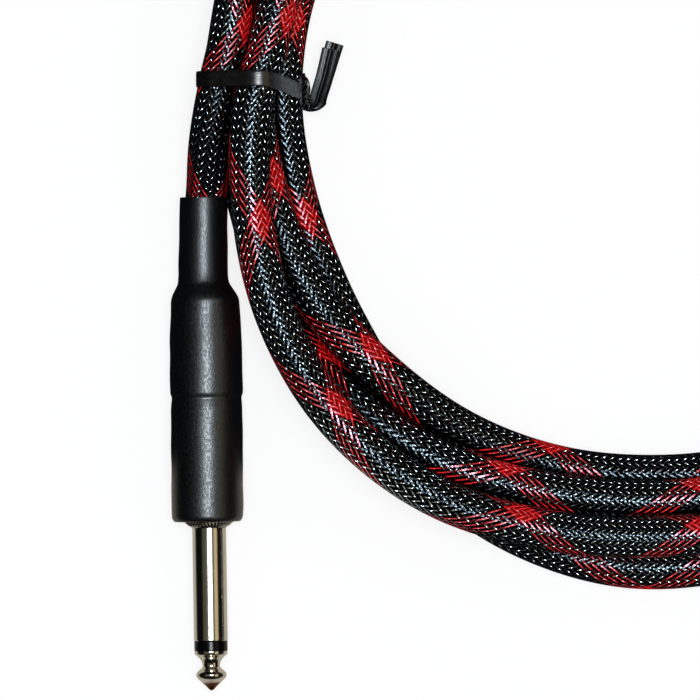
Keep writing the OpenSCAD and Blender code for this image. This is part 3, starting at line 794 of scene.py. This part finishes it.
def boot_material():
    """Shrunk polyolefin: near black, satin, with a fine grain and faint streaks drawn along it."""
    b = Board("shrunk_polyolefin", **{"IOR": 1.55, "Specular IOR Level": 0.74,
                                      "Specular Tint": (0.90, 0.96, 1.0)})
    along, around = b.uv()
    drawn = b.node("ShaderNodeCombineXYZ", {}, {"X": along * 1.5, "Y": around * 125.0, "Z": 0.0})
    streaks = b.noise(1.0, 2.0, 0.6, drawn.outputs[0])
    grain, cloud = b.noise(2600.0, 3.0), b.noise(260.0, 3.0)
    b.set(Base_Color=b.mix(cloud, (0.0004, 0.0005, 0.0007), (0.0012, 0.0015, 0.0019)),
          Roughness=b.ramp(streaks, 0.35, 0.65, 0.29, 0.45))
    b.bump(grain * 0.8 + streaks, 0.00002)
    return b.material


NOSE_Y = -44.4             # the plating is worn through in front of this


def nickel_material(name):
    """Bright nickel plate, a little warm, with faint turning marks; worn to copper at the nose."""
    b = Board(name, Metallic=1.0)
    along, around = b.uv()
    marks = b.node("ShaderNodeCombineXYZ", {}, {"X": along * 26.0, "Y": around * 5.0, "Z": 0.0})
    scratch = b.noise(1.0, 3.0, 0.6, marks.outputs[0])
    cloud = b.noise(300.0, 2.0)
    place = b.node("ShaderNodeSeparateXYZ", {}, {"Vector": b.place()})
    worn = b.ramp(Number(b, place.outputs[1]) / MM + cloud, NOSE_Y - 0.2, NOSE_Y + 0.5, 1.0, 0.0)
    plate = b.mix(cloud, (0.66, 0.62, 0.54), (0.76, 0.73, 0.66))
    b.set(Base_Color=b.mix(worn, plate, (0.10, 0.026, 0.009)),
          Roughness=b.ramp(scratch, 0.35, 0.75, 0.13, 0.20))
    b.bump(scratch, 0.000002)
    return b.material


def collar_material():
    """Nickel plate, with painted shade, near black, in the grooves between the collar's ridges."""
    b = Board("collar_plate", Metallic=1.0, Roughness=0.16)
    along, around = b.uv()
    wave = b.sin(around * (2 * math.pi * RIDGES) + (along - CONE_START) * RIDGE_SLANT + math.pi / 2)
    grain = b.noise(1500.0, 2.0)
    # Painted shade: near black in the grooves between the ridges, light on the ridges.
    unshaded_ridge = b.ramp(wave + grain * 0.3, -0.35, 0.65)
    b.set(Base_Color=b.mix(unshaded_ridge, (0.015, 0.014, 0.012), (0.74, 0.70, 0.62)))
    b.bump(grain, 0.000004)
    return b.material


TIE_PAINTED_FACET = (-73.8, -67.5)  # from the first to the second x the band's facet is painted pale, a painted reflection
TAIL_X = -66.0             # the tails lie beyond this
# Painted sheen along a tail, in pale bands: where each starts and is full, how pale it is, where it fades
# and ends
TAIL_SHEEN_BANDS = [(0.03, 0.12, 1.0, 0.34, 0.38), (0.44, 0.48, 0.7, 0.50, 0.54),
               (0.62, 0.70, 0.45, 0.80, 0.90)]


def strip_material():
    """Glossy black ridged tape over a wire; near the knot a painted reflection pales it, and painted sheen
    and shade stripe the tails.
    """
    b = Board("tie_plastic", **{"IOR": 1.55, "Specular IOR Level": 0.65})
    along, across = b.uv()
    ridges = b.sin(across * 62.0 + b.noise(300.0, 1.0) * 3.0) * 0.5 + 0.5
    grain = b.noise(1200.0, 3.0)
    place = b.node("ShaderNodeSeparateXYZ", {}, {"Vector": b.place()})
    x = Number(b, place.outputs[0]) / MM
    # Painted reflection: the band is pale near the knot, brighter on its ridges.
    painted_facet_light = b.ramp(x, TIE_PAINTED_FACET[0], TIE_PAINTED_FACET[1]) * b.ramp(x, TIE_PAINTED_FACET[1], TIE_PAINTED_FACET[1] + 0.4, 1.0, 0.0)
    in_tail = b.ramp(x, TAIL_X, TAIL_X + 0.8)
    # Painted sheen: pale bands along each tail, placed by the place across it.
    tail_sheen = 0.0
    for first, full, paleness, fades, last in TAIL_SHEEN_BANDS:
        band = b.ramp(across, first, full, 0.0, paleness) * b.ramp(across, fades, last, 1.0, 0.0)
        tail_sheen = band + tail_sheen
    black = b.mix(grain, (0.0012, 0.0012, 0.0015), (0.0035, 0.0035, 0.004))
    # Painted light: the pale colour of the band near the knot and of the sheen bands along the tails.
    pale = b.max(painted_facet_light * (ridges * 0.4 + 0.6), in_tail * tail_sheen * 0.34)
    b.set(Base_Color=b.mix(pale, black, (0.150, 0.175, 0.195)),
          Roughness=b.ramp(grain, 0.3, 0.7, 0.24, 0.34))
    b.bump(ridges * 0.22 + grain * 0.12, 0.00003)
    # Painted shade: between the sheen bands the tails take a black shader that does not reflect.
    shade = b.node("ShaderNodeBsdfPrincipled", {}, {
        "Specular IOR Level": 0.0, "Roughness": 1.0, "Base Color": (0.0010, 0.0012, 0.0014)})
    faces = b.node("ShaderNodeMixShader", {}, {
        0: in_tail * (1.0 - tail_sheen) * 0.9, 1: b.shader.outputs[0], 2: shade.outputs[0]})
    b.put(b.output.inputs["Surface"], faces.outputs[0])
    return b.material


def dress(piece, material):
    """Gives a piece one material in all its slots."""
    if not piece.data.materials:
        piece.data.materials.append(material)
    for slot in piece.material_slots:
        slot.material = material


braid = braid_material("braided_sleeve")
nickel = nickel_material("nickel_plate")
polyolefin = boot_material()
black_ring = plain("black_insulator", (0.0006, 0.0006, 0.0008), (0.0014, 0.0014, 0.0018), 0.19,
                   **{"Specular IOR Level": 0.20})
strip = strip_material()
white_plastic = plain("white_insulator", (0.74, 0.73, 0.68), (0.80, 0.79, 0.75), 0.45)
clear_plastic = plain("liner_plastic", (0.66, 0.65, 0.60), (0.74, 0.73, 0.69), 0.30)
lug_brass = plain("lug_brass", (0.60, 0.44, 0.20), (0.72, 0.55, 0.28), 0.30, 1500.0, 0.00001, 1.0)
fibre = plain("washer_fibre", (0.26, 0.09, 0.05), (0.36, 0.14, 0.08), 0.65, 2400.0, 0.00004)
rubber = plain("jacket_rubber", (0.012, 0.012, 0.012), (0.022, 0.022, 0.022), 0.60)
copper = plain("copper_wire", (0.62, 0.28, 0.14), (0.74, 0.38, 0.22), 0.32, 2600.0, 0.00002, 1.0)
tin = plain("solder", (0.52, 0.52, 0.54), (0.64, 0.64, 0.66), 0.28, 1200.0, 0.00003, 1.0)
shell_plate = plain("shell_plate", (0.60, 0.58, 0.54), (0.72, 0.70, 0.66), 0.18, 900.0, 0.000005, 1.0)
dark_fabric = plain("sleeve_end", (0.008, 0.008, 0.009), (0.020, 0.006, 0.007), 0.40, 1800.0, 0.0001)

# ---------------------------------------------------------------- dressing and riding
# Pieces inside the boots keep their CAD shape; the visible ones are made here. Each gives its finish.
HIDDEN = {
    "shell": shell_plate, "liner": clear_plastic, "rod_insulator": white_plastic, "ground_lug": lug_brass,
    "rear_washer": fibre, "tip_lug": lug_brass, "braid_end": dark_fabric, "jacket_end": rubber,
    "shield_end": copper, "dielectric_end": white_plastic, "core_end": copper,
    "shield_tail": copper, "solder": tin,
}
SHOWN = {
    "boot": (boot, polyolefin, "boot_polyolefin"),
    "collar": (collar, collar_material(), "nickel_plate"),
    "sleeve": (sleeve, nickel, "nickel_plate"), "tip_ring": (tip_ring, black_ring, "black_insulator"),
    "tip": (tip, nickel, "nickel_plate"),
}
plug_pieces = {-1: [], 1: []}
for side, letter in ((-1, "a"), (1, "b")):
    for word, (make, material, finish) in SHOWN.items():
        piece = make(side)
        dress(piece, material)
        piece.name = "plug_%s_%s_looks" % (letter, word)
        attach(piece, "root")
        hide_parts("plug_%s_%s" % (letter, word))
        plug_pieces[side].append(piece)
    for word, material in HIDDEN.items():
        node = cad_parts["plug_%s_%s" % (letter, word)]
        dress(node, material)

dress(cable, braid)
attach(cable, "root")
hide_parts("cable_coil", "cable_lead_a", "cable_lead_b")

dress(tie, strip)
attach(tie, "root")
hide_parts("twist_tie")


# ---------------------------------------------------------------- floor and light
FLOOR_REACH = 1.6          # metres from the middle to each edge
FLOOR_GLOW = 0.80          # share of its own light in what the camera sees, so that it shows white
CARD_Y = (-46.0, -14.0)    # the pale cards lie between these, along the plugs' fingers
CARD_EDGE = (18.0, 36.0)   # how far out a card starts to fade, and has faded


def make_floor():
    """A white floor with a faint shadow; in reflections dark, with a pale card by each plug's finger."""
    mesh = bpy.data.meshes.new("floor")
    corners = [(-1, -1), (1, -1), (1, 1), (-1, 1)]
    mesh.from_pydata([(x * FLOOR_REACH, y * FLOOR_REACH, 0) for x, y in corners], [], [(0, 1, 2, 3)])
    floor = bpy.data.objects.new("floor", mesh)
    scene.collection.objects.link(floor)
    b = Board("floor_paper", Roughness=0.9)
    b.set(Base_Color=(0.93, 0.92, 0.92))
    rays = b.node("ShaderNodeLightPath")
    seen = b.max(Number(b, rays.outputs["Is Camera Ray"]),
                 Number(b, rays.outputs["Is Transmission Ray"]))
    glow = b.node("ShaderNodeEmission", {}, {"Color": (1.0, 1.0, 1.0), "Strength": 1.0})
    place = b.node("ShaderNodeSeparateXYZ", {}, {"Vector": b.place()})
    x, y = Number(b, place.outputs[0]) / MM, Number(b, place.outputs[1]) / MM
    outwards = b.abs(x) - MOUTH_X
    aside = b.max(outwards * 1.1, outwards * -0.75)
    past = b.max((y - CARD_Y[1]) * 3.0, (y - CARD_Y[0]) / -8.0)
    card = b.mix(b.ramp(b.max(aside, past), *CARD_EDGE), (0.52, 0.49, 0.42), (0.012, 0.012, 0.014))
    mirrored = b.node("ShaderNodeEmission", {}, {"Color": card, "Strength": 1.0})
    paper = b.node("ShaderNodeMixShader", {}, {
        0: seen * FLOOR_GLOW, 1: b.shader.outputs[0], 2: glow.outputs[0]})
    mixed = b.node("ShaderNodeMixShader", {}, {
        0: rays.outputs["Is Glossy Ray"], 1: paper.outputs[0], 2: mirrored.outputs[0]})
    b.put(b.output.inputs["Surface"], mixed.outputs[0])
    floor.data.materials.append(b.material)


def area_light(name, aside, up, size, watts, tint):
    """A soft rectangular lamp, in metres aside of and above the view's middle, turned towards it.

    Its first size is the level one.
    """
    middle = Vector((VIEW_X * MM, VIEW_Y * MM, 0.0))
    data = bpy.data.lights.new(name, "AREA")
    data.shape, data.size, data.size_y = "RECTANGLE", size[0], size[1]
    data.energy, data.color = watts, tint
    lamp = bpy.data.objects.new(name, data)
    lamp.location = middle + Vector((aside, 0.0, up))
    lamp.rotation_euler = (middle - lamp.location).to_track_quat("-Z", "Y").to_euler()
    scene.collection.objects.link(lamp)


def make_world():
    """A grey room: even fill for colours, dark to reflections and white to the camera."""
    world = bpy.data.worlds.new("room")
    scene.world = world
    world.use_nodes = True
    tree = world.node_tree
    tree.nodes.clear()
    out = tree.nodes.new("ShaderNodeOutputWorld")
    back = tree.nodes.new("ShaderNodeBackground")
    rays = tree.nodes.new("ShaderNodeLightPath")
    mix = tree.nodes.new("ShaderNodeMix")
    mix.data_type = "RGBA"
    mix.inputs[6].default_value = (0.35, 0.35, 0.36, 1)
    mix.inputs[7].default_value = (0.004, 0.004, 0.004, 1)
    tree.links.new(rays.outputs["Is Glossy Ray"], mix.inputs[0])
    seen = tree.nodes.new("ShaderNodeMix")
    seen.data_type = "RGBA"
    seen.inputs[7].default_value = (1, 1, 1, 1)
    tree.links.new(rays.outputs["Is Camera Ray"], seen.inputs[0])
    tree.links.new(mix.outputs[2], seen.inputs[6])
    tree.links.new(seen.outputs[2], back.inputs["Color"])
    tree.links.new(back.outputs[0], out.inputs["Surface"])


make_floor()
make_world()
area_light("overhead_core", 0.06, 2.0, (0.60, 0.60), 25.0, (0.90, 0.96, 1.0))
area_light("overhead_wide", 0.04, 2.02, (1.30, 1.08), 5.0, (0.92, 0.97, 1.0))
area_light("warm_strip", 1.58, 1.80, (3.4, 1.05), 7.4, (1.0, 0.80, 0.50))
area_light("olive_panel", -1.38, 1.90, (3.0, 1.2), 0.9, (1.0, 1.0, 0.62))
